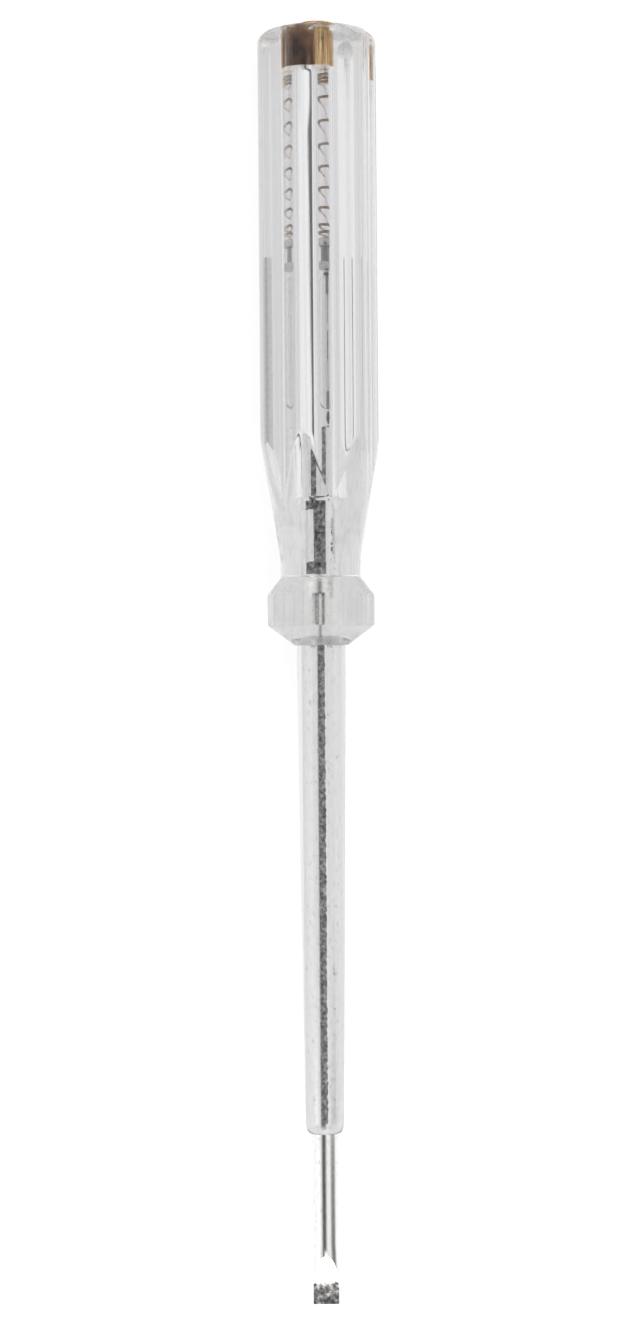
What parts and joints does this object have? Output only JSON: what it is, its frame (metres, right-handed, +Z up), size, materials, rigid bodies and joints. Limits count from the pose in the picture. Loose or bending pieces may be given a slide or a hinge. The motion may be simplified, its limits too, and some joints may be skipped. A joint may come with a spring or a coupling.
{
  "type": "voltage tester screwdriver",
  "caption": "Voltage tester screwdriver: clear fluted handle over an insulated flat blade, with a sprung resistor and neon lamp under a brass touch cap that unscrews.",
  "frame": {"origin": "bottom centre of the whole tool as it lies: the lowest ridges of the grip touch z = 0, and the tool is centred along X and Y", "axes": "+Y along the tool's axis from the blade's tip to the contact cap, +Z up, through the middle of a flute of the grip, +X to the right"},
  "size_m": [0.0178, 0.19, 0.0162],
  "materials": {
    "clear_acetate": "clear moulded plastic, polished, slightly scuffed",
    "plated_steel": "bright nickel plate, ground bare at the tip",
    "sleeve_pvc": "milky translucent plastic tube",
    "brass": "turned brass, tarnished dark on its thread",
    "spring_wire": "drawn bronze wire, dull",
    "resistor_lacquer": "dark lacquer",
    "tinned_steel": "tinned pressed cups",
    "lamp_glass": "clear drawn glass",
    "bead_glass": "fused glass bead",
    "nickel": "drawn nickel wire, dull",
    "solder": "dull dark solder"
  },
  "bodies": {
    "handle_and_blade": {"handle": "clear_acetate", "blade": "plated_steel", "insulating_sleeve": "sleeve_pvc"},
    "spring_carrier": {"spring": "spring_wire"},
    "cap": {"contact_cap": "brass"},
    "lamp_stack": {"resistor_body": "resistor_lacquer", "resistor_cup_rear": "tinned_steel", "resistor_cup_front": "tinned_steel", "lamp_glass": "lamp_glass", "lamp_stem_rear": "bead_glass", "lamp_stem_front": "bead_glass", "electrode_rear": "nickel", "electrode_front": "nickel", "lamp_contact_rear": "solder", "lamp_contact_front": "solder"}
  },
  "joints": [
    {"name": "cap_travel", "type": "slide", "parent": "handle_and_blade", "child": "spring_carrier", "axis": [0, 1, 0], "range_m": [0, 0.0048], "deforming": ["spring"]},
    {"name": "cap_turn", "type": "hinge", "parent": "spring_carrier", "child": "cap", "pos_m": [0, 0.09, 0.00809], "axis": [0, 1, 0], "range_deg": [0, 2160]},
    {"name": "stack_slide", "type": "slide", "parent": "handle_and_blade", "child": "lamp_stack", "axis": [0, 1, 0], "range_m": [0, 0.004], "stiffness_N_per_m": 200, "springref_m": -0.004, "deforming": ["spring"]}
  ],
  "couplings": [
    {"joint": "cap_turn", "follows": "cap_travel", "rad_per_m": 7854}
  ]
}
